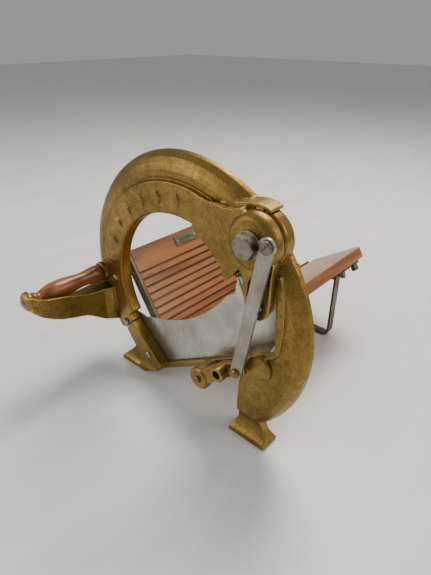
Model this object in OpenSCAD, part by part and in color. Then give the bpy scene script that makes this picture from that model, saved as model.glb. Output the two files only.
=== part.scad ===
// Hand-lever bread slicer: a cast arm with a round window and a screwed-on blade swings on a
// two-footed cast frame, a link and rocker move a gauge socket, and a wooden V trough runs behind.
// Millimetres. +X to the viewer's right, +Y to the back, +Z up, feet on Z = 0.

/* [Castings] */

// Radius of the round window in the swinging arm
window_r = 77; // [70:1:82]

// Radius where the flat band meets the outer arch
band_r = 102; // [96:1:106]

// Front face of the flat band and of the frame legs
front_y = 2; // [1:0.5:3]

// Back face of the castings
back_y = 13; // [11:0.5:13]

// Radius of the pivot hub on the arm
hub_r = 21; // [18:0.5:22]

/* [Blade] */

// Sheet thickness of the blade
blade_t = 1.5; // [1:0.1:2]

// Radius of the hollow upper edge of the blade
blade_hollow_r = 155; // [140:1:170]

/* [Pivot] */

// Shank radius of the pivot bolt
bolt_r = 5; // [4:0.5:6]

// Width across the flats of the pivot bolt head
bolt_flats = 16; // [13:1:17]

/* [Trough] */

// Slope of the right board above the horizontal
trough_tilt = 32.5; // [28:0.5:38]

// Thickness of both boards
board_t = 11; // [8:0.5:14]

// Width of the right board up its slope
right_w = 109; // [95:1:120]

// Width of the left board up its slope
left_w = 94; // [80:1:105]

// Where the boards start behind the front plate
board_front = 19; // [19:0.5:22]

// Where the boards end at the back
board_back = 225; // [180:1:260]

// Depth of the lengthwise grooves
groove_d = 2.2; // [1:0.1:3]

/* [Handle] */

// Height of the grip axis above the ground
grip_z = 97.5; // [94:0.5:100]

// Radius of the steel rod inside the grip
rod_r = 2.5; // [2:0.1:3]

/* [Linkage] */

// Width of the flat link bar
link_w = 11; // [9:0.5:11.5]

// Thickness of the flat link bar
link_t = 2.5; // [2:0.1:3]

// Bore radius of the gauge socket
socket_r = 3.7; // [3:0.1:4.5]

/* [Hidden] */

$fn = 96;

// Moves the design axes so that the middle of the whole object's footprint is the origin
shift_x = -0.25;
shift_y = -70.45;

// Centre of the ring, and the pivot of the arm
ring_z = 106;
pivot_x = 80;
pivot_z = 187;

// Slope and height of the blade edge line at x = -15
edge_tilt = 31.3;
edge_z = 28;

// Bottom of the V where the board faces meet
valley_x = -34;
valley_z = 42;

// Grip axis, link ends and rocker pin
grip_x = -109;
link_top = [96.5, 191.5];
link_low = [75, 80.5];
rocker_at = [32, 47];
socket_at = [59.5, 72];

// Leg hinge axis below the right board
hinge_n = -17;
hinge_y = 184;

// Colours
gold = [0.58, 0.44, 0.19];
steel = [0.66, 0.64, 0.58];
dark_steel = [0.33, 0.31, 0.27];
olive = [0.42, 0.40, 0.32];
bright = [0.62, 0.60, 0.55];
red_wood = [0.52, 0.28, 0.12];
grip_wood = [0.60, 0.30, 0.10];

module place() {
  translate([shift_x, shift_y, 0]) children();
}

// A front-view outline, x and z, made solid between two depths
module plate(y0, y1) {
  translate([0, y1, 0]) rotate([90, 0, 0]) linear_extrude(y1 - y0) children();
}

// A side-view outline, y and z, made solid between two x positions
module side(x0, x1) {
  translate([x0, 0, 0]) rotate([90, 0, 90]) linear_extrude(x1 - x0) children();
}

// A round bar along y
module rod_y(at, y0, y1, r) {
  translate([at[0], y1, at[1]]) rotate([90, 0, 0]) cylinder(h = y1 - y0, r = r);
}

// A turned shape about a y axis: the outline is radius against distance in front of y0
module turned_y(at, y0) {
  translate([at[0], y0, at[1]]) rotate([90, 0, 0]) rotate_extrude() children();
}

// Slotted screw head facing the front, with its flat underside at y0
module slotted_head(at, y0, r, h, turn) {
  difference() {
    turned_y(at, y0) polygon([[0, 0], [r, 0], [r, h * 0.55], [r * 0.72, h], [0, h]]);
    translate([at[0], y0 - h, at[1]]) rotate([0, turn, 0]) cube([0.9, h, r * 2.4], center = true);
  }
}

// Coordinates along the blade edge line: x runs up the slope, z is square to it
module on_edge_line() {
  translate([-15, 0, edge_z]) rotate([0, -edge_tilt, 0]) children();
}

// Coordinates on the right board: x up the slope from the valley, z out of its face
module on_right_board() {
  translate([valley_x, 0, valley_z]) rotate([0, -trough_tilt, 0]) children();
}

// Coordinates on the left board: x out of its face, z up its slope from the valley
module on_left_board() {
  translate([valley_x, 0, valley_z]) rotate([0, -trough_tilt, 0]) children();
}

// Opening edge of the right leg, from the boss down to the cross bar
leg_edge = [[98, 165], [97.5, 155], [98, 146], [99.5, 130], [100, 118], [100, 110], [98.6, 102],
  [93, 96], [82, 89]];

bead_edge = [[89, 93], [99, 98.5], [103.5, 104], [105, 112], [105.8, 121], [106.3, 131], [105, 149],
  [102.5, 163], [100, 167]];

module leg_outline() {
  intersection() {
    translate([0, ring_z]) circle(r = 116, $fn = 180);
    polygon(concat([[91, 178]], leg_edge, [[67, 80], [67, 54], [66, 37], [66, 20], [64.5, 12],
      [140, 12], [140, 176]]));
  }
}

module right_foot() {
  intersection() {
    plate(-1, 21) polygon([[59, 0], [97, 0], [97.5, 3], [96, 8], [91.5, 15], [89, 24], [66, 24],
      [64.5, 14], [61, 8], [59, 3]]);
    side(50, 100) polygon([[0, 0], [19, 0], [19, 3], [14, 12], [13, 24], [2, 24], [2, 15], [0.4, 7],
      [0, 5]]);
  }
}

module left_foot() {
  intersection() {
    plate(-1, 17) polygon([[-90, 0], [-55, 0], [-51, 6], [-42, 7.5], [-31, 13], [-31, 20], [-35, 23.5], [-38, 25.5],
      [-43, 31], [-52, 38], [-61, 47], [-68.2, 55], [-79.6, 42.6], [-74, 34], [-67.5, 26],
      [-74, 19], [-84, 9], [-90, 3]]);
    side(-92, -30) polygon([[0, 0], [16, 0], [16, 3], [13, 8], [13, 56], [2, 56], [2, 12], [0, 7]]);
  }
}

module cross_bar() {
  intersection() {
    on_edge_line() translate([-40, 0, 0]) rotate([90, 0, 90]) linear_extrude(150)
      polygon([[9.5, 0.7], [12.8, 0.7], [12.8, -1.8], [15.4, -1.8], [15.4, 0.7], [19, 0.7],
        [19, -7], [13, -7], [9.5, -3]]);
    plate(5, 25) polygon([[-48, 6], [90, 6], [90, 92], [74, 92], [-48, 26]]);
  }
}

module leg_rim() {
  translate([0, 0, ring_z]) rotate([90, 0, 0]) rotate([0, 0, -44]) rotate_extrude(angle = 84, $fn = 180)
    polygon([[113.4, -12.4], [113.4, -2.3], [117, -3], [121, -6], [123.6, -10], [124.5, -13.5],
      [123, -15], [117, -14.5]]);
}

module frame_casting() color(gold) place() {
  difference() {
    union() {
      turned_y([pivot_x, pivot_z], back_y + 0.8)
        polygon([[0, 0], [20, 0], [21.5, 1.5], [21.5, 9.6], [20, 11.1], [0, 11.1]]);
      difference() {
        union() {
          plate(front_y, back_y) leg_outline();
          leg_rim();
        }
        rod_y([pivot_x, pivot_z], 0, 3.2, hub_r + 1);
      }
      plate(0, front_y) polygon(concat(leg_edge, bead_edge));
      right_foot();
      left_foot();
      cross_bar();
      rod_y(rocker_at, -1, 12.8, 9);
      turned_y([88, 86], front_y) polygon([[0, -1], [11.5, -1], [11.5, 3.4], [10, 5], [0, 5]]);
    }
    rod_y([pivot_x, pivot_z], 0, 20, bolt_r);
    rod_y(rocker_at, -2, 8, 2.4);
    rod_y([-48, 24], 1, 9, 1.9);
    for (x = [6, 56]) bar_bore(x);
    side(55, 112) translate([-9, 17]) circle(r = 15, $fn = 96);
    side(-94, -60.5) translate([-8, 13.5]) circle(r = 12, $fn = 96);
  }
}

// Inner side of the arm between the round window and the tip of the tail
tail_edge = [[54, 160.9], [58.5, 156.1], [62.6, 150.8], [66.2, 145.3], [69.3, 139.5], [72.2, 134.2],
  [76, 131.6], [82, 130.6]];

module arm_band() {
  translate([0, 0, ring_z]) rotate([90, 0, 0]) rotate([0, 0, 50]) rotate_extrude(angle = 170, $fn = 180)
    polygon([[window_r, -back_y], [window_r, -3], [window_r + 1, -front_y], [band_r, -front_y],
      [band_r + 1.2, -5.6], [106, -4.4], [110, -4.2], [115, -5.6], [119.5, -8.8], [122.8, -13],
      [124, -16.5], [123, -18], [117, -17], [110, -back_y]]);
}

// Ring end: everything below this front-view outline is cut away so that it meets the frame stub
module ring_end_cut() {
  plate(-20, 30) polygon([[-68.5, 55.6], [-73, 61], [-40, 90], [0, 60], [0, -60], [-140, -60],
    [-140, 44], [-111, 44], [-99, 44], [-97, 38], [-91.6, 37.3], [-83.5, 40.8], [-80.1, 43]]);
}

// Shoulder where the arch runs down onto the boss
module arch_shoulder() {
  plate(1.6, 15.4) polygon([[58, 208], [66.5, 210.1], [72, 211.5], [78, 212], [84, 211.3],
    [89, 209.2], [89, 204], [61.5, 201.5]]);
}

module arm_neck() {
  intersection() {
    translate([pivot_x, 0, pivot_z]) rotate([0, 44.6, 0]) translate([0, 0, -50]) linear_extrude(66)
      polygon([[-62, 3], [-62, 2], [-46, 1.2], [-24, -3.6], [-8, -6], [14, -6], [14, 3]]);
    plate(-9, 3) polygon([[20, 201], [26, 204.6], [35, 203.6], [43, 204.2], [52, 203.6], [60, 205],
      [69, 208], [80, 200], [90, 187], [80, 175], [70, 165], [57, 150], [54, 160.9], [40, 171.8],
      [20, 180.4]]);
  }
}

module arm_tail() {
  difference() {
    plate(-6, 1.7) polygon([[62, 176], [70, 166], [74, 158], [75, 150], [75.5, 142], [77.5, 135.5],
      [82, 131.4], [90, 131.2], [94, 134.5], [96.6, 139.5], [97.3, 146], [97.4, 156], [97.6, 166],
      [98.5, 176], [80, 187]]);
    plate(-7, -2.5) polygon([[82.5, 134.4], [88.5, 134.4], [91.4, 138.5], [93, 146], [93.4, 156],
      [92, 168], [84, 166.5], [78.5, 158], [78.2, 148], [79, 139]]);
  }
  difference() {
    plate(1.6, back_y - 0.2) polygon(concat([[44, 168.5]], tail_edge, [[88, 130.8], [91, 133],
      [92.5, 142], [92.8, 156], [92, 166], [90, 172], [70, 200], [50, 196]]));
    rod_y([pivot_x, pivot_z], 1.7, 20, hub_r + 1.2);
  }
}

module handle_bow() {
  intersection() {
    union() {
      side(-113.5, -96) polygon([[-90, 40], [12, 40], [12, 110], [-90, 110]]);
      linear_extrude(110) polygon([[-113.5, -30], [-104, -30], [-97, -12], [-92, 0], [-91, 8],
        [-116, 8], [-115, -8]]);
    }
    side(-120, -90) polygon([[-81, 93.5], [-78.5, 90.5], [-73, 85], [-64.7, 79], [-55.4, 74.4],
      [-44.6, 71], [-36.5, 69], [-29.8, 67], [-24, 63], [-16, 56], [-9, 51], [8, 47], [8, 86],
      [-12, 85.5], [-30, 85.8], [-45, 86.5], [-60, 86.8], [-71, 87.8], [-75.2, 91], [-75.2, 96]]);
  }
  intersection() {
    linear_extrude(112) polygon([[-99.5, 12], [-99.5, -75.2], [-109, -75.2], [-109, -82.1],
      [-103, -81.6], [-98.4, -79], [-95.8, -74], [-95.5, -66], [-95.5, 12]]);
    side(-110, -90) polygon([[-82.1, 93], [-78.5, 89], [-73, 84], [-64.7, 78.5], [-55.4, 73.6],
      [-44.6, 70], [-36.5, 67.6], [-29.8, 65.6], [-24, 62], [-16, 56], [-9, 51], [8, 47], [8, 86],
      [-12, 85.6], [-25, 87.4], [-36, 91], [-46, 94.3], [-56, 96.8], [-66, 99.4], [-73, 102.6],
      [-78.5, 105.6], [-82.1, 103]]);
  }
  turned_y([grip_x, grip_z], -75.2) polygon([[0, 0], [9, 0], [9.5, 0.6], [9.2, 3.5], [7.4, 6],
    [4, 7], [0, 7]]);
}

module arm_casting() color(gold) place() {
  difference() {
    union() {
      difference() {
        union() {
          arm_band();
          turned_y([grip_x, grip_z], 10) polygon([[0, 0], [9, 0], [9, 7], [9.6, 7.8], [9.6, 10],
            [8.8, 11.2], [0, 11.2]]);
          handle_bow();
          arm_neck();
          arch_shoulder();
        }
        rod_y([pivot_x, pivot_z], 1.7, 25, hub_r + 1.2);
        ring_end_cut();
      }
      arm_tail();
      turned_y([pivot_x, pivot_z], 1.7) polygon([[0, 0], [hub_r - 0.5, 0], [hub_r, 0.6],
        [hub_r - 0.1, 3], [hub_r - 1, 5.8], [hub_r - 2.4, 8], [hub_r - 4.6, 9.7], [0, 9.7]]);
      rod_y([-78, 51], back_y - 1, 13.3, 3.4);
      rod_y([86.5, 152], back_y - 1, 13.3, 5);
      rod_y([86, 139], back_y - 1, 13.3, 5);
      band_relief();
    }
    rod_y([pivot_x, pivot_z], -10, 5, bolt_r + 2);
    rod_y([-78, 51], 0, 20, 2);
    rod_y([86.5, 152], -5, 20, 2);
    rod_y([86, 139], -5, 20, 2);
    rod_y([66.8, 153], -5, 8, 2);
    rod_y(link_top, -9, 0, 2);
    rod_y([grip_x, grip_z], -85, 4, rod_r);
  }
}

// Plain raised lozenges and dots on the flat band, with a small ring of dots beside the hub
module band_relief() {
  for (a = [74, 88, 102, 116, 130, 144, 158, 172, 186])
    translate([0, 0, ring_z]) rotate([0, -a, 0]) translate([90, 0, 0]) {
      plate(0.4, 2.3) polygon([[-6, 0], [0, -3.2], [6, 0], [0, 3.2]]);
      rotate([0, -7, 0]) rod_y([0, 1], 0.4, 2.3, 1.7, $fn = 24);
    }
}

module blade() color(steel) place() {
  difference() {
    plate(13.3, 13.3 + blade_t) difference() {
      polygon([[-40.4, 11.4], [83.5, 86.8], [86, 89], [89, 94], [92, 101], [93, 112], [93, 128],
        [92.5, 154], [89, 160], [74, 160], [54, 147], [52, 130], [-60, 58], [-74, 60], [-84, 58],
        [-86, 50], [-83, 43]]);
      translate([-83, 214]) circle(r = blade_hollow_r, $fn = 240);
    }
    rod_y([-78, 51], 0, 20, 2);
    rod_y([86.5, 152], 0, 20, 2);
    rod_y([86, 139], 0, 20, 2);
  }
}

module blade_screws() color(dark_steel) place() {
  slotted_head([-78, 51], front_y, 3.5, 2, 30);
  rod_y([-78, 51], front_y, 16.8, 2);
  slotted_head([86.5, 152], -2.5, 3.8, 2, 20);
  rod_y([86.5, 152], -2.5, 16.8, 2);
  slotted_head([86, 139], -2.5, 3.8, 2, -35);
  rod_y([86, 139], -2.5, 16.8, 2);
}

module blade_nut(at) {
  difference() {
    rod_y(at, 13.3 + blade_t, 17.2, 3.9, $fn = 6);
    rod_y(at, 10, 20, 2);
  }
}

module blade_nuts() color(dark_steel) place() {
  blade_nut([-78, 51]);
  blade_nut([86.5, 152]);
  blade_nut([86, 139]);
}

module ring_screw() color(bright) place() {
  slotted_head([66.8, 153], 1.6, 3.8, 1.8, -25);
  rod_y([66.8, 153], 1.6, 8, 2);
}

module stub_screw() color(bright) place() {
  slotted_head([-48, 24], front_y, 3.4, 1.6, 40);
  rod_y([-48, 24], front_y, 9, 1.9);
}

module pivot_bolt() color(bright) place() {
  intersection() {
    rod_y([pivot_x, pivot_z], -16.4, -9.4, bolt_flats / 1.7320508, $fn = 6);
    turned_y([pivot_x, pivot_z], -9.4) polygon([[0, 0], [9.6, 0], [9.6, 5.6], [7.4, 7], [0, 7]]);
  }
  rod_y([pivot_x, pivot_z], -9.4, 22, bolt_r);
}

module pivot_washer() color(steel) place() {
  difference() {
    rod_y([pivot_x, pivot_z], -9.4, -8.2, 9.6);
    rod_y([pivot_x, pivot_z], -10, -8, bolt_r + 0.05);
  }
}

module pivot_bush() color([0.55, 0.42, 0.22]) place() {
  difference() {
    rod_y([pivot_x, pivot_z], -8, 1.7, bolt_r + 2);
    rod_y([pivot_x, pivot_z], -9, 3, bolt_r + 0.05);
  }
}

module pivot_nut() color(steel) place() {
  difference() {
    rod_y([pivot_x, pivot_z], back_y + 0.8, 21.8, bolt_flats / 1.7320508, $fn = 6);
    rod_y([pivot_x, pivot_z], 12, 22, bolt_r);
  }
}

module link_bar() color(steel) place() {
  lean = atan2(link_top[0] - link_low[0], link_top[1] - link_low[1]);
  long = norm(link_top - link_low);
  translate([link_low[0], 0, link_low[1]]) rotate([0, lean, 0]) plate(-9.9 - link_t, -9.9)
    difference() {
      union() {
        translate([0, long]) circle(r = 6.3);
        polygon([[-4.6, -5.4], [4.6, -5.4], [5.1, -4.6], [link_w / 2, long - 1],
          [-link_w / 2, long - 1], [-5.1, -4.6]]);
      }
      translate([0, long]) circle(r = 2.55);
      circle(r = 2.7);
    }
}

module link_screw() color(bright) place() {
  slotted_head(link_top, -12.7, 4.8, 2, 35);
  rod_y(link_top, -12.7, 0, 2);
}

module link_spacer() color(steel) place() {
  difference() {
    union() {
      rod_y(link_top, -9.6, -8, 3.8);
      rod_y(link_top, -12.7, -9.6, 2.5);
    }
    rod_y(link_top, -13, -7, 2);
  }
}

module gauge_rocker() color(gold) place() {
  difference() {
    union() {
      turned_y(rocker_at, -1.4) polygon([[0, 0], [9, 0], [10.5, 1.5], [10.5, 6], [9, 8], [0, 8]]);
      plate(-8, -3.4) polygon([[30, 54], [36, 40], [62, 66], [78, 74.5], [80, 78], [79, 84],
        [74, 86.5], [57, 78]]);
      turned_y(socket_at, -3.4) polygon([[0, 0], [6.5, 0], [6.5, 13], [6, 13.8], [0, 13.8]]);
    }
    rod_y(rocker_at, -12, 0, 2.45);
    rod_y(socket_at, -20, 0, socket_r);
    rod_y(link_low, -9, -3, 1.5);
  }
}

module rocker_pin() color(gold) place() {
  rod_y(rocker_at, -9.8, 8, 2.4);
  turned_y(rocker_at, -9.8) polygon([[0, 0], [3, 0], [3, 0.8], [2, 1.8], [0, 2.2]]);
}

module link_stud() color(gold) place() {
  rod_y(link_low, -12.8, -3.4, 1.5);
  turned_y(link_low, -12.8) polygon([[0, 0], [3.8, 0], [3.6, 1.2], [2.6, 2.4], [1.2, 3], [0, 3.1]]);
}

module grip() color(grip_wood) place() {
  difference() {
    turned_y([grip_x, grip_z], -1.5) polygon([[0, 0], [7, 0], [8, 1.2], [8.4, 5], [8.2, 10],
      [7.4, 15], [6.9, 20], [7.2, 26], [8, 33], [8.7, 40], [9, 46], [8.7, 52], [7.6, 58],
      [6, 62.5], [5, 65.5], [5.4, 67.4], [6.6, 69.4], [6.6, 71.2], [5.6, 73], [0, 73.2]]);
    rod_y([grip_x, grip_z], -90, 3, rod_r + 0.06);
  }
}

module grip_rod() color(dark_steel) place() {
  rod_y([grip_x, grip_z], -82.2, 4, rod_r);
  turned_y([grip_x, grip_z], -82.2) polygon([[0, 0], [3.4, 0], [3, 1], [1.6, 1.7], [0, 1.9]]);
}

module front_plate() color(olive) place() {
  difference() {
    union() {
      on_right_board() plate(16, board_front) polygon([[-10.5, -10.5], [96, -10.5], [98, -8.5],
        [98, -1], [-0.5, -1], [-0.5, 92], [-2, 93.5], [-9, 93.5], [-10.5, 92]]);
      intersection() {
        on_edge_line() plate(16, board_front) polygon([[-12, 0.7], [100, 0.7], [100, 14],
          [-12, 14]]);
        plate(10, 20) polygon([[-24, 20], [-12, 20], [-12, 48], [-24, 48]]);
      }
      intersection() {
        on_edge_line() plate(16, board_front) polygon([[-12, 0.7], [100, 0.7], [100, 14],
          [-12, 14]]);
        plate(10, 20) polygon([[36, 50], [48, 50], [48, 90], [36, 90]]);
      }
    }
    for (u = [20, 80]) on_right_board() rod_y([u, -5.5], 10, 20, 1.6, $fn = 32);
    for (w = [25, 75]) on_right_board() rod_y([-5.5, w], 10, 20, 1.6, $fn = 32);
  }
}

module plate_screws() color(bright) place() {
  for (u = [20, 80]) on_right_board() {
    rod_y([u, -5.5], 15.4, 16, 2.8, $fn = 32);
    rod_y([u, -5.5], 16, 32, 1.6, $fn = 32);
  }
  for (w = [25, 75]) on_right_board() {
    rod_y([-5.5, w], 15.4, 16, 2.8, $fn = 32);
    rod_y([-5.5, w], 16, 32, 1.6, $fn = 32);
  }
}

// Angle brackets from the back of the cross bar to the underside of the right board
module board_brackets() color(olive) place() {
  for (x = [6, 56]) difference() {
    union() {
      intersection() {
        plate(19, 22) polygon([[x - 8, 0], [x + 8, 0], [x + 8, 140], [x - 8, 140]]);
        on_edge_line() plate(18, 23) polygon([[-40, -7], [120, -7], [120, 18], [-40, 18]]);
        on_right_board() plate(18, 23) polygon([[-40, -60], [140, -60], [140, -11], [-40, -11]]);
      }
      intersection() {
        plate(19, 52) polygon([[x - 8, 0], [x + 8, 0], [x + 8, 140], [x - 8, 140]]);
        on_right_board() plate(18, 60) polygon([[-40, -14], [140, -14], [140, -11], [-40, -11]]);
      }
    }
    bar_bore(x);
    shelf_bore(x);
  }
}

// Bore through the bracket's flange into the back lip of the cross bar
module bar_bore(x) {
  rod_y([x, edge_z + (x + 15) * tan(edge_tilt) - 3.8], 15.6, 26, 1.6, $fn = 32);
}

// Bore through the bracket's shelf into the underside of the right board
module shelf_bore(x) {
  on_right_board() translate([(x - valley_x) / cos(trough_tilt) - 5.8, 40, -18])
    cylinder(h = 14, r = 1.6, $fn = 32);
}

module bracket_screws() color(dark_steel) place() {
  for (x = [6, 56]) {
    translate([x, 0, edge_z + (x + 15) * tan(edge_tilt) - 3.8]) rotate([90, 0, 0]) {
      translate([0, 0, -23.6]) cylinder(h = 1.6, r = 3, $fn = 32);
      translate([0, 0, -22]) cylinder(h = 6, r = 1.6, $fn = 32);
    }
    on_right_board() translate([(x - valley_x) / cos(trough_tilt) - 5.8, 40, 0]) {
      translate([0, 0, -15.6]) cylinder(h = 1.6, r = 3, $fn = 32);
      translate([0, 0, -14]) cylinder(h = 9, r = 1.6, $fn = 32);
    }
  }
}

// Board outline seen from above its face, with the two far corners rounded
module board_plan(w0, w1, r) {
  difference() {
    translate([w0, board_front]) square([w1 - w0, board_back - board_front]);
    difference() {
      translate([w1 - r, board_back - r]) square([r + 1, r + 1]);
      translate([w1 - r, board_back - r]) circle(r = r);
    }
  }
}

module left_board() color(red_wood) place() {
  difference() {
    on_left_board() intersection() {
      plate(board_front, board_back) difference() {
        translate([-board_t, 0]) square([board_t, left_w]);
        for (i = [0 : 8]) translate([0, 8 + i * 7.6])
          polygon([[-groove_d, 0], [0.5, 0.2], [0.5, 2.7], [-groove_d, 1.5]]);
      }
      translate([-board_t - 1, 0, 0]) rotate([0, -90, 0]) mirror([0, 0, 1])
        linear_extrude(board_t + 2) board_plan(0, left_w, 9);
    }
    for (w = [25, 75]) on_right_board() rod_y([-5.5, w], 18, 32, 1.6, $fn = 32);
    for (y = [50, 190]) board_screw_bore(y);
  }
}

module right_board() color([0.62, 0.40, 0.26]) place() {
  difference() {
    on_right_board() intersection() {
      plate(board_front, board_back) difference() {
        translate([-board_t, -board_t]) square([right_w + board_t, board_t]);
        for (i = [0 : 2]) translate([6 + i * 14, 0])
          polygon([[0, -groove_d], [12.5, 0.5], [-0.5, 0.5], [-0.5, -groove_d]]);
      }
      translate([0, 0, -board_t - 1]) linear_extrude(board_t + 2)
        board_plan(-board_t, right_w, 9);
    }
    for (u = [20, 80]) on_right_board() rod_y([u, -5.5], 18, 32, 1.6, $fn = 32);
    for (y = [50, 190]) board_screw_bore(y);
    for (x = [6, 56]) shelf_bore(x);
    hinge_screw_bores();
    catch_bore();
  }
}

// Long screws that hold the left board on the edge of the right board
module board_screw_bore(y) {
  on_right_board() translate([-5.5, y, -12]) cylinder(h = 36, r = 1.7, $fn = 32);
}

module board_screws() color(dark_steel) place() {
  for (y = [50, 190]) on_right_board() translate([-5.5, y, 0]) {
    translate([0, 0, -12.6]) cylinder(h = 1.6, r = 3.4, $fn = 32);
    translate([0, 0, -11]) cylinder(h = 35, r = 1.7, $fn = 32);
  }
}

// Blank plate near the upper edge of the left board
module label_plate() color([0.45, 0.42, 0.33]) place() {
  difference() {
    on_left_board() translate([0, 74, 80]) cube([0.8, 31, 10]);
    label_pin_bores();
  }
}

module label_pin_bores() {
  for (y = [77, 102]) on_left_board() translate([-3, y, 85]) rotate([0, 90, 0])
    cylinder(h = 4, r = 0.7, $fn = 24);
}

module label_pins() color(steel) place() {
  for (y = [77, 102]) on_left_board() translate([0.8, y, 85]) rotate([0, 90, 0])
    cylinder(h = 0.5, r = 1.3, $fn = 24);
}

// Flat strip bent into a U that stands on the ground
module leg_u(x0, x1, r) {
  translate([x0 + r, 0]) square([x1 - x0 - 2 * r, 90]);
  translate([x0, r]) square([x1 - x0, 90 - r]);
  translate([x0 + r, r]) circle(r = r);
  translate([x1 - r, r]) circle(r = r);
}

module support_leg() color(dark_steel) place() {
  difference() {
    intersection() {
      difference() {
        plate(hinge_y - 4.75, hinge_y + 4.75) leg_u(-22, 55, 9);
        translate([0, 0, 2.5]) plate(hinge_y - 6, hinge_y + 6) leg_u(-19.5, 52.5, 6.5);
      }
      union() {
        on_right_board() translate([-60, hinge_y, hinge_n]) rotate([0, 90, 0])
          cylinder(h = 180, r = 4.75);
        on_right_board() translate([-80, hinge_y - 10, hinge_n - 120]) cube([220, 20, 120]);
      }
    }
    hinge_bores(2.25);
  }
}

module hinge_bores(r) {
  for (u = [-3, 84]) on_right_board() translate([u, hinge_y, hinge_n]) rotate([0, 90, 0])
    cylinder(h = 17, r = r, $fn = 48);
}

// Lug brackets screwed under the right board
module hinge_brackets() color(dark_steel) place() {
  difference() {
    for (u = [10.2, 98.2]) on_right_board() {
      translate([u, hinge_y - 7, -13]) cube([11, 14, 2]);
      translate([u, hinge_y - 4.5, hinge_n]) cube([2.5, 9, 5]);
      translate([u, hinge_y, hinge_n]) rotate([0, 90, 0]) cylinder(h = 2.5, r = 4.5);
    }
    for (u = [9, 97]) on_right_board() translate([u, hinge_y, hinge_n]) rotate([0, 90, 0])
      cylinder(h = 5, r = 2.2, $fn = 48);
    hinge_screw_bores();
  }
}

module hinge_screw_bores() {
  for (u = [17.4, 105.4]) on_right_board() translate([u, hinge_y + 3.6, -16])
    cylinder(h = 12, r = 1.4, $fn = 32);
}

module hinge_pins() color(bright) place() {
  for (u = [0, 88]) on_right_board() {
    translate([u, hinge_y, hinge_n]) rotate([0, 90, 0]) cylinder(h = 13.4, r = 2.2, $fn = 48);
    translate([u - 1.2, hinge_y, hinge_n]) rotate([0, 90, 0]) cylinder(h = 1.2, r = 3.4, $fn = 48);
  }
}

module catch_bore() {
  on_right_board() translate([104, 203, -20]) cylinder(h = 14, r = 2, $fn = 32);
}

// Dark stop bolt under the far corner of the right board
module leg_catch() color(dark_steel) place() {
  on_right_board() translate([104, 203, 0]) {
    translate([0, 0, -13]) cylinder(h = 2, r = 6, $fn = 48);
    translate([0, 0, -20]) cylinder(h = 7, r = 4.2, $fn = 6);
    translate([0, 0, -13]) cylinder(h = 7, r = 2, $fn = 32);
  }
}

frame_casting();
arm_casting();
blade();
blade_screws();
blade_nuts();
ring_screw();
stub_screw();
pivot_bolt();
pivot_washer();
pivot_bush();
pivot_nut();
link_bar();
link_screw();
link_spacer();
gauge_rocker();
rocker_pin();
link_stud();
grip();
grip_rod();
front_plate();
plate_screws();
board_brackets();
bracket_screws();
left_board();
right_board();
board_screws();
label_plate();
label_pins();
support_leg();
hinge_brackets();
hinge_pins();
leg_catch();
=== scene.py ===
import math
import bmesh
import bpy
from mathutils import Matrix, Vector


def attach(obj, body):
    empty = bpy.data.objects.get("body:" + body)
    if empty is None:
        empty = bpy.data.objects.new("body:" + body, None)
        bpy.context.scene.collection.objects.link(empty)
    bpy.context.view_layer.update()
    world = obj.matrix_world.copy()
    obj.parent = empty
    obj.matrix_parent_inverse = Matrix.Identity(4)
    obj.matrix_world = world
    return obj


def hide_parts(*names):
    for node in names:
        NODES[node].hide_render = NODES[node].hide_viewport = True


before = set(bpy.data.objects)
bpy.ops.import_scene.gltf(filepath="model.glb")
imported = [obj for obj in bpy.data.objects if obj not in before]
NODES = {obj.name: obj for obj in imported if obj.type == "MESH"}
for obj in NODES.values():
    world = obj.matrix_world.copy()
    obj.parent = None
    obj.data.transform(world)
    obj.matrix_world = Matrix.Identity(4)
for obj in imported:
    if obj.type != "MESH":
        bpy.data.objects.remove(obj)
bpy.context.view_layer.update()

# The CAD source's shift from its ring-centred design axes, in mm
SHIFT_X = -0.25
SHIFT_Y = -70.45

# Where the viewer stands, in mm on the design axes, and how they look at the slicer
EYE = (239.9, -217.7, 307.2)
AZIMUTH = 42
ELEVATION = 30
SENSOR_MM = 36
LENS_MM = SENSOR_MM * 18 / 23

# The turned grip: its axis and front end, and the steps its curve and its roundness are cut into
GRIP_START = (-109, -1.5, 97.5)
TURN_SEGMENTS = 96
CURVE_STEPS = 7

# Skins of the castings
FINE_VOXEL = 0.0006
ROCKER_VOXEL = 0.0005
SEAM = 0.000002


def place(x, y, z):
    """A point given in mm on the ring-centred design axes, as metres in the row frame."""
    return Vector(((x + SHIFT_X) / 1000, (y + SHIFT_Y) / 1000, z / 1000))


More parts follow.
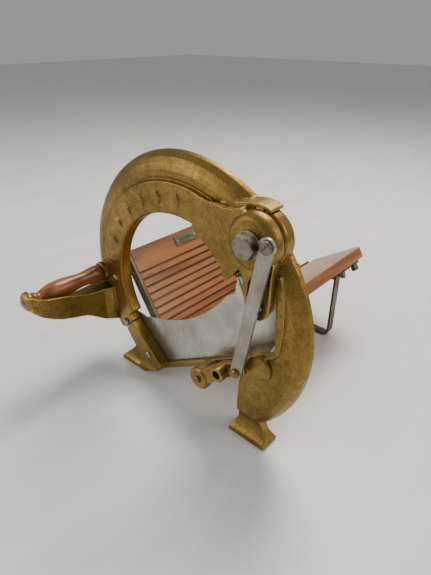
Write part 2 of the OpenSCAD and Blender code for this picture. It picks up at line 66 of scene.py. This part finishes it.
# ---------------------------------------------------------------- node material helpers
class NodeMaterial:
    """A material built from shader nodes, laid out on the object's own axes."""

    def __init__(self, name):
        self.m = bpy.data.materials.new(name)
        self.m.use_nodes = True
        self.t = self.m.node_tree
        self.t.nodes.clear()
        self.out = self.t.nodes.new("ShaderNodeOutputMaterial")
        self.b = self.t.nodes.new("ShaderNodeBsdfPrincipled")
        self.t.links.new(self.b.outputs[0], self.out.inputs[0])
        self.tc = self.t.nodes.new("ShaderNodeTexCoord")

    def link(self, a, b):
        self.t.links.new(a, b)

    def obj(self, scale=(1, 1, 1), rot=(0, 0, 0), loc=(0, 0, 0)):
        n = self.t.nodes.new("ShaderNodeMapping")
        n.inputs["Scale"].default_value = scale
        n.inputs["Rotation"].default_value = rot
        n.inputs["Location"].default_value = loc
        self.link(self.tc.outputs["Object"], n.inputs["Vector"])
        return n.outputs[0]

    def noise(self, vec, scale, detail=4.0, rough=0.55, dist=0.0):
        n = self.t.nodes.new("ShaderNodeTexNoise")
        n.inputs["Scale"].default_value = scale
        n.inputs["Detail"].default_value = detail
        n.inputs["Roughness"].default_value = rough
        n.inputs["Distortion"].default_value = dist
        self.link(vec, n.inputs["Vector"])
        return n.outputs["Fac"]

    def voronoi(self, vec, scale, feature="F1"):
        n = self.t.nodes.new("ShaderNodeTexVoronoi")
        n.feature = feature
        n.inputs["Scale"].default_value = scale
        self.link(vec, n.inputs["Vector"])
        return n.outputs["Distance"]

    def wave(self, vec, scale, dist, detail=2.0, kind="BANDS", direction="X"):
        n = self.t.nodes.new("ShaderNodeTexWave")
        n.wave_type = kind
        if kind == "BANDS":
            n.bands_direction = direction
        else:
            n.rings_direction = direction
        n.inputs["Scale"].default_value = scale
        n.inputs["Distortion"].default_value = dist
        n.inputs["Detail"].default_value = detail
        self.link(vec, n.inputs["Vector"])
        return n.outputs["Fac"]

    def ramp(self, fac, stops, mode="LINEAR"):
        n = self.t.nodes.new("ShaderNodeValToRGB")
        n.color_ramp.interpolation = mode
        e = n.color_ramp.elements
        while len(e) < len(stops):
            e.new(0.5)
        for el, (p, c) in zip(e, stops):
            el.position = p
            el.color = (c[0], c[1], c[2], 1) if isinstance(c, tuple) else (c, c, c, 1)
        self.link(fac, n.inputs["Fac"])
        return n.outputs["Color"]

    def mix(self, fac, a, b, mode="MIX"):
        n = self.t.nodes.new("ShaderNodeMix")
        n.data_type = "RGBA"
        n.blend_type = mode
        for sock, v in ((n.inputs["Factor"], fac), (n.inputs[6], a), (n.inputs[7], b)):
            if isinstance(v, (float, int)):
                sock.default_value = v
            elif isinstance(v, tuple):
                sock.default_value = (v[0], v[1], v[2], 1)
            else:
                self.link(v, sock)
        return n.outputs[2]

    def math(self, op, a, b=0.0, clamp=False):
        n = self.t.nodes.new("ShaderNodeMath")
        n.operation = op
        n.use_clamp = clamp
        for sock, v in ((n.inputs[0], a), (n.inputs[1], b)):
            if isinstance(v, (float, int)):
                sock.default_value = v
            else:
                self.link(v, sock)
        return n.outputs[0]

    def pointy(self):
        return self.t.nodes.new("ShaderNodeNewGeometry").outputs["Pointiness"]

    def set(self, key, v):
        s = self.b.inputs[key]
        if isinstance(v, (float, int)):
            s.default_value = v
        elif isinstance(v, tuple):
            s.default_value = (v[0], v[1], v[2], 1)
        else:
            self.link(v, s)

    def bump(self, *layers):
        """Each layer is (height, strength, distance in metres)."""
        prev = None
        for h, s, d in layers:
            n = self.t.nodes.new("ShaderNodeBump")
            n.inputs["Strength"].default_value = s
            n.inputs["Distance"].default_value = d
            self.link(h, n.inputs["Height"])
            if prev:
                self.link(prev, n.inputs["Normal"])
            prev = n.outputs[0]
        self.link(prev, self.b.inputs["Normal"])


def gold_paint(name, seed=0.0, paint_relief_light=True):
    """Bronze paint over a sand casting: grainy, with edges lightened as rubbed wear and painted highlight,
    and hollows darkened as painted shade.
    """
    m = NodeMaterial(name)
    v = m.obj(loc=(seed, seed * 0.7, seed * 1.3))
    big = m.noise(v, 22, 3, 0.6)
    mid = m.noise(v, 150, 5, 0.62)
    grain = m.noise(v, 900, 3, 0.7)
    specks = m.voronoi(v, 620)
    base = m.ramp(m.mix(0.45, big, mid), [(0.34, (0.150, 0.088, 0.018)), (0.50, (0.260, 0.160, 0.036)),
                                          (0.68, (0.380, 0.245, 0.066))])
    base = m.mix(m.ramp(grain, [(0.36, 0.55), (0.50, 0.0)]), base, (0.085, 0.048, 0.010))
    base = m.mix(m.ramp(grain, [(0.58, 0.0), (0.72, 0.45)]), base, (0.56, 0.40, 0.14))
    base = m.mix(m.ramp(specks, [(0.02, 0.55), (0.09, 0.0)]), base, (0.045, 0.026, 0.008))
    # Painted light from pointiness when this option is on: hollows get a dark brown painted shade, sharp
    # edges a pale gold painted highlight over rubbed wear.
    if paint_relief_light:
        p = m.pointy()
        # Painted shade: hollows and creases darkened to deep brown.
        base = m.mix(m.ramp(p, [(0.43, 0.85), (0.49, 0.0)]), base, (0.050, 0.028, 0.007))
        # Painted highlight with rubbed wear: sharp edges lightened to pale gold.
        base = m.mix(m.ramp(p, [(0.52, 0.0), (0.60, 0.70)]), base, (0.78, 0.60, 0.27))
    m.set("Base Color", base)
    m.set("Metallic", m.ramp(mid, [(0.3, 0.80), (0.7, 0.95)]))
    m.set("Roughness", m.ramp(m.mix(0.45, mid, grain), [(0.34, 0.48), (0.66, 0.30)]))
    m.bump((mid, 0.22, 0.0007), (grain, 0.30, 0.00022), (m.voronoi(v, 380), 0.12, 0.0002))
    return m.m


def steel(name, tint, dark, along=(1, 1, 1), rough=(0.24, 0.44), spots=0.6, metal=0.92):
    """Sheet or bar steel with drawn scratches, faint blotches and small dark specks."""
    m = NodeMaterial(name)
    v = m.obj()
    s = m.obj(scale=along)
    scratch = m.noise(s, 900, 3, 0.75)
    scratch2 = m.noise(m.obj(scale=(along[1], along[0], along[2]), rot=(0.2, 0.5, 0.3)), 700, 2, 0.8)
    blot = m.noise(v, 42, 5, 0.62, 0.4)
    col = m.mix(m.ramp(blot, [(0.38, 0.0), (0.66, 1.0)]), tint, dark)
    col = m.mix(m.ramp(scratch, [(0.40, 0.45), (0.52, 0.0)]), col, dark)
    pits = m.noise(v, 330, 4, 0.8)
    pitted = m.math("MULTIPLY", m.ramp(pits, [(0.64, 0.0), (0.70, 1.0)]), spots)
    col = m.mix(pitted, col, (0.10, 0.075, 0.05))
    m.set("Base Color", col)
    m.set("Metallic", metal)
    m.set("Roughness", m.ramp(m.mix(0.5, scratch, blot), [(0.3, rough[0]), (0.7, rough[1])]))
    m.bump((scratch, 0.10, 0.00015), (scratch2, 0.05, 0.00012), (pits, 0.12, 0.0001))
    return m.m


def turned(name, centre, tint, dark):
    """Screw and bolt heads with circular tool marks around a y axis."""
    m = NodeMaterial(name)
    v = m.obj(loc=tuple(-c for c in centre))
    rings = m.wave(v, 900, 0.6, 1.0, "RINGS", "Y")
    blot = m.noise(m.obj(), 160, 4, 0.65)
    col = m.mix(m.ramp(rings, [(0.2, 0.0), (0.9, 0.5)]), tint, dark)
    col = m.mix(m.ramp(blot, [(0.46, 0.0), (0.70, 0.8)]), col, (0.13, 0.10, 0.065))
    m.set("Base Color", col)
    m.set("Metallic", 0.9)
    m.set("Roughness", m.ramp(blot, [(0.3, 0.26), (0.7, 0.50)]))
    m.bump((rings, 0.22, 0.0001), (blot, 0.15, 0.0001))
    return m.m


def wood(name, light, mid, dark, gloss=(0.28, 0.46)):
    """Varnished wood, grain along y, with pores, darker growth bands and knocks."""
    m = NodeMaterial(name)
    v = m.obj()
    long = m.obj(scale=(1, 0.045, 1))
    warp = m.noise(m.obj(scale=(1, 0.12, 1)), 26, 2, 0.5)
    bands = m.wave(m.obj(scale=(1, 0.10, 1), rot=(0.03, 0.55, 0.02)), 62, 5.5, 3.0, "BANDS", "X")
    fibre = m.noise(long, 640, 5, 0.68, 0.3)
    pores = m.noise(m.obj(scale=(1, 0.02, 1)), 2100, 2, 0.6)
    col = m.ramp(m.mix(0.42, bands, fibre), [(0.22, dark), (0.50, mid), (0.80, light)])
    col = m.mix(m.ramp(warp, [(0.40, 0.0), (0.72, 0.55)]), col, dark)
    col = m.mix(m.ramp(pores, [(0.30, 0.65), (0.42, 0.0)]), col, tuple(c * 0.35 for c in dark))
    stain = m.noise(v, 60, 5, 0.7)
    col = m.mix(m.ramp(stain, [(0.58, 0.0), (0.78, 0.5)]), col, tuple(c * 0.5 for c in dark))
    m.set("Base Color", col)
    m.set("Roughness", m.ramp(fibre, [(0.3, gloss[1]), (0.7, gloss[0])]))
    m.set("Coat Weight", 0.25)
    m.set("Coat Roughness", 0.25)
    m.bump((fibre, 0.20, 0.0003), (pores, 0.18, 0.0002))
    return m.m


GOLD = gold_paint("cast_bronze_paint")
GOLD_B = gold_paint("cast_bronze_paint_small", 3.1, False)
BLADE = steel("blade_sheet", (0.56, 0.545, 0.49), (0.38, 0.36, 0.30), (1, 1, 0.25), (0.22, 0.38), 0.8)
LINK = steel("link_strip", (0.40, 0.38, 0.32), (0.25, 0.23, 0.18), (1, 1, 0.15), (0.30, 0.46), 0.9)
DARK = steel("dark_steel", (0.13, 0.115, 0.09), (0.05, 0.042, 0.03), (1, 1, 1), (0.35, 0.55), 0.4, 0.85)
LEGMAT = steel("leg_strip", (0.16, 0.145, 0.11), (0.07, 0.06, 0.045), (1, 1, 0.05), (0.36, 0.56), 0.5, 0.7)
# Painted shade: a dark olive copy of the gold paint that stands in for gold seen in shadow, used on the
# front plate, board brackets and label plate.
GOLD_IN_PAINTED_SHADE = steel("gold_paint_in_painted_shade", (0.19, 0.17, 0.10), (0.10, 0.088, 0.05), (1, 1, 0.1), (0.42, 0.62), 0.5, 0.45)
BRIGHT = steel("bright_steel", (0.44, 0.42, 0.36), (0.20, 0.18, 0.14), (1, 1, 1), (0.26, 0.46), 0.5)
BUSH = steel("bearing_metal", (0.45, 0.32, 0.13), (0.25, 0.17, 0.06), (1, 1, 1), (0.3, 0.5), 0.3)
BOLT = turned("bolt_turned", place(80, -16, 187), (0.27, 0.245, 0.195), (0.12, 0.105, 0.075))
LINKSCREW = turned("link_screw_turned", place(96.5, -14, 191.5), (0.27, 0.245, 0.195), (0.12, 0.105, 0.075))
LEFTW = wood("left_board_wood", (0.42, 0.165, 0.034), (0.275, 0.090, 0.016), (0.125, 0.034, 0.006))
RIGHTW = wood("right_board_wood", (0.50, 0.235, 0.100), (0.36, 0.140, 0.050), (0.20, 0.066, 0.020),
              gloss=(0.22, 0.40))
GRIPW = wood("grip_wood", (0.33, 0.110, 0.022), (0.27, 0.082, 0.015), (0.17, 0.047, 0.008),
             gloss=(0.24, 0.38))


def assign(o, m):
    if not o.material_slots:
        o.data.materials.append(m)
    for s in o.material_slots:
        s.material = m


def soften(o, width, angle=32, seg=2):
    """Welds the imported seams and rounds the sharp edges of a CAD node with modifiers only."""
    w = o.modifiers.new("weld", "WELD")
    w.merge_threshold = 1e-6
    b = o.modifiers.new("bevel", "BEVEL")
    b.width = width
    b.segments = seg
    b.limit_method = "ANGLE"
    b.angle_limit = math.radians(angle)
    b.use_clamp_overlap = True
    b.harden_normals = False
    n = o.modifiers.new("normals", "WEIGHTED_NORMAL")
    n.keep_sharp = False


def cast(node, name, voxel, rounds, body, mat):
    """A casting's skin: the CAD shape as one closed mesh with every edge rounded as a mould leaves it."""
    me = NODES[node].data.copy()
    bm = bmesh.new()
    bm.from_mesh(me)
    bmesh.ops.remove_doubles(bm, verts=bm.verts, dist=SEAM)
    bm.to_mesh(me)
    bm.free()
    o = bpy.data.objects.new(name + "_raw", me)
    bpy.context.scene.collection.objects.link(o)
    r = o.modifiers.new("remesh", "REMESH")
    r.mode = "VOXEL"
    r.voxel_size = voxel
    r.use_smooth_shade = True
    s = o.modifiers.new("smooth", "SMOOTH")
    s.factor = 0.5
    s.iterations = rounds
    dg = bpy.context.evaluated_depsgraph_get()
    out = bpy.data.meshes.new_from_object(o.evaluated_get(dg))
    bpy.data.objects.remove(o)
    done = bpy.data.objects.new(name, out)
    bpy.context.scene.collection.objects.link(done)
    done.data.materials.clear()
    done.data.materials.append(mat)
    for f in done.data.polygons:
        f.use_smooth = True
    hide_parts(node)
    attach(done, body)
    return done


def lathe(name, start, profile, mat, body, node):
    """A piece turned about y, running forwards: profile is (distance, radius) in mm on a smooth curve."""
    pts = [Vector((d, r)) for d, r in profile]
    fine = []
    for i in range(len(pts) - 1):
        p0 = pts[max(i - 1, 0)]
        p1 = pts[i]
        p2 = pts[i + 1]
        p3 = pts[min(i + 2, len(pts) - 1)]
        for k in range(CURVE_STEPS):
            t = k / CURVE_STEPS
            fine.append(0.5 * ((2 * p1) + (p2 - p0) * t + (2 * p0 - 5 * p1 + 4 * p2 - p3) * t * t
                               + (3 * p1 - p0 - 3 * p2 + p3) * t ** 3))
    fine.append(pts[-1])
    bm = bmesh.new()
    rings = []
    for d, r in fine:
        radius = max(r, 0.01)
        turns = [2 * math.pi * k / TURN_SEGMENTS for k in range(TURN_SEGMENTS)]
        rings.append([bm.verts.new((radius * math.cos(a) / 1000, -d / 1000, radius * math.sin(a) / 1000))
                      for a in turns])
    for a, b in zip(rings, rings[1:]):
        for k in range(TURN_SEGMENTS):
            after = (k + 1) % TURN_SEGMENTS
            bm.faces.new((a[k], a[after], b[after], b[k]))
    bm.faces.new(rings[0][::-1])
    bm.faces.new(rings[-1])
    bmesh.ops.translate(bm, verts=bm.verts, vec=start)
    bmesh.ops.recalc_face_normals(bm, faces=bm.faces)
    me = bpy.data.meshes.new(name)
    bm.to_mesh(me)
    bm.free()
    for f in me.polygons:
        f.use_smooth = True
    o = bpy.data.objects.new(name, me)
    bpy.context.scene.collection.objects.link(o)
    assign(o, mat)
    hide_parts(node)
    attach(o, body)
    return o


# ---------------------------------------------------------------- castings
voxel = FINE_VOXEL
cast("arm_casting", "arm_skin", voxel, 5, "arm", GOLD)
cast("frame_casting", "frame_skin", voxel, 5, "frame", GOLD)
cast("gauge_rocker", "rocker_skin", ROCKER_VOXEL, 6, "rocker", GOLD)

# ---------------------------------------------------------------- turned grip
lathe("grip_turned", place(*GRIP_START),
      [(0, 2.7), (0, 6.9), (0.9, 7.8), (4, 8.3), (9, 8.2), (14, 7.5), (19, 7.0), (25, 7.1), (32, 7.9),
       (40, 8.7), (46, 8.9), (52, 8.6), (58, 7.5), (62.5, 5.9), (65.3, 5.0), (67.4, 5.5), (69.4, 6.5),
       (71.2, 6.5), (72.9, 5.3), (73.1, 2.7)],
      GRIPW, "grip", "grip")

# ---------------------------------------------------------------- carried-over CAD nodes
for node, mat, width in (
        ("blade", BLADE, 0.00025), ("blade_screws", BRIGHT, 0.0002), ("blade_nuts", DARK, 0.0003),
        ("ring_screw", BRIGHT, 0.0002), ("stub_screw", BRIGHT, 0.0002), ("pivot_bolt", BOLT, 0.0005),
        ("pivot_washer", BRIGHT, 0.0002), ("pivot_bush", BUSH, 0.0002), ("pivot_nut", BRIGHT, 0.0004),
        ("link_bar", LINK, 0.0005), ("link_screw", LINKSCREW, 0.0003), ("link_spacer", BRIGHT, 0.0002),
        ("rocker_pin", GOLD_B, 0.0004), ("link_stud", GOLD_B, 0.0004), ("grip_rod", BRIGHT, 0.0003),
        ("front_plate", GOLD_IN_PAINTED_SHADE, 0.0004), ("plate_screws", BRIGHT, 0.0002), ("board_brackets", GOLD_IN_PAINTED_SHADE, 0.0004),
        ("bracket_screws", DARK, 0.0002), ("left_board", LEFTW, 0.0006), ("right_board", RIGHTW, 0.0010),
        ("board_screws", DARK, 0.0002), ("label_plate", GOLD_IN_PAINTED_SHADE, 0.0002), ("label_pins", BRIGHT, 0.0002),
        ("support_leg", LEGMAT, 0.0006), ("hinge_brackets", LEGMAT, 0.0004), ("hinge_pins", BRIGHT, 0.0003),
        ("leg_catch", DARK, 0.0005)):
    assign(NODES[node], mat)
    soften(NODES[node], width)

# ---------------------------------------------------------------- floor, light, camera
def floor_mat():
    m = NodeMaterial("painted_table")
    v = m.obj(scale=(1, 0.2, 1), rot=(0, 0, 0.5))
    n = m.noise(v, 30, 4, 0.6)
    m.set("Base Color", m.ramp(n, [(0.3, (0.70, 0.70, 0.69)), (0.7, (0.78, 0.78, 0.77))]))
    m.set("Roughness", m.ramp(n, [(0.3, 0.45), (0.7, 0.6)]))
    m.bump((m.noise(v, 240, 3, 0.6), 0.08, 0.0004))
    return m.m


bpy.ops.mesh.primitive_plane_add(size=9, location=(0, 0, 0))
floor = bpy.context.object
floor.name = "floor"
assign(floor, floor_mat())

world = bpy.data.worlds.new("pale_room")
bpy.context.scene.world = world
world.use_nodes = True
bg = world.node_tree.nodes["Background"]
bg.inputs[0].default_value = (0.80, 0.79, 0.77, 1)
bg.inputs[1].default_value = 0.42


def area(name, loc, target, size, power, colour=(1, 1, 1)):
    li = bpy.data.lights.new(name, "AREA")
    li.shape = "SQUARE"
    li.size = size
    li.energy = power
    li.color = colour
    o = bpy.data.objects.new(name, li)
    o.location = loc
    o.rotation_mode = "QUATERNION"
    o.rotation_quaternion = (Vector(target) - Vector(loc)).to_track_quat("-Z", "Y")
    bpy.context.scene.collection.objects.link(o)


area("key", (-0.15, 0.55, 1.15), (0, -0.02, 0.1), 0.55, 17, (1.0, 0.96, 0.90))
area("fill", (-0.8, -0.9, 0.7), (0, 0, 0.1), 0.9, 7, (1.0, 0.98, 0.95))
area("side", (1.0, 0.35, 0.75), (0, 0, 0.08), 0.6, 5, (1.0, 0.96, 0.90))

cam_data = bpy.data.cameras.new("camera")
cam = bpy.data.objects.new("camera", cam_data)
bpy.context.scene.collection.objects.link(cam)
bpy.context.scene.camera = cam
az = math.radians(AZIMUTH)
el = math.radians(ELEVATION)
back = Vector((math.sin(az) * math.cos(el), -math.cos(az) * math.cos(el), math.sin(el)))
cam.location = place(*EYE)
cam.rotation_mode = "QUATERNION"
cam.rotation_quaternion = (-back).to_track_quat("-Z", "Y")
cam_data.lens = LENS_MM
cam_data.sensor_width = SENSOR_MM
cam_data.clip_start = 0.01
cam_data.clip_end = 30
